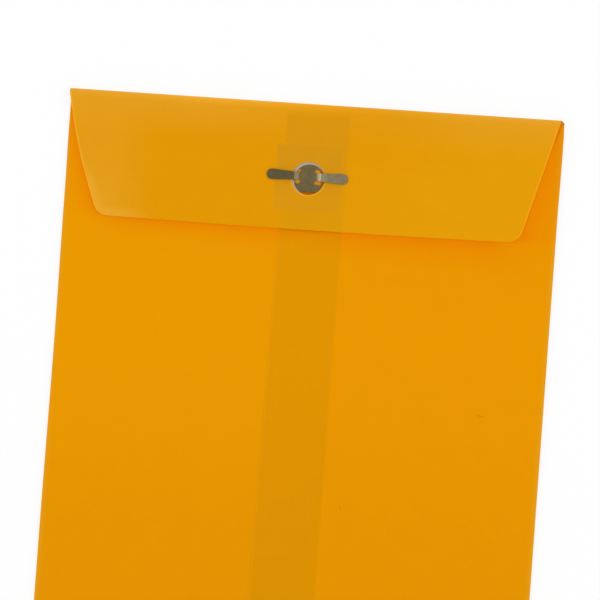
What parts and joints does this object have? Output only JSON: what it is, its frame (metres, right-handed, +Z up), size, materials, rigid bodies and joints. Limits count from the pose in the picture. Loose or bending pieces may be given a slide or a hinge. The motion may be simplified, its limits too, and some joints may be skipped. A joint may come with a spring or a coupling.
{
  "type": "paper envelope",
  "caption": "Empty kraft paper envelope lying flap side up, shut by a bent tinplate clasp that comes through a reinforced hole in the closure flap.",
  "frame": {"origin": "centre of the envelope's outline, on the surface that it lies on", "axes": "+Z up through the flap side, +Y towards the top fold, +X to the right as the flap side is seen"},
  "size_m": [0.1916, 0.2667, 0.0027],
  "materials": {
    "kraft_paper": "matt golden kraft, faintly fibrous",
    "patch_paper": "matt grey-brown",
    "tinplate": "dull tinplate, slightly warm"
  },
  "bodies": {
    "root": {"envelope": "kraft_paper", "eyelet_patch": "patch_paper", "clasp": "tinplate"}
  },
  "joints": []
}
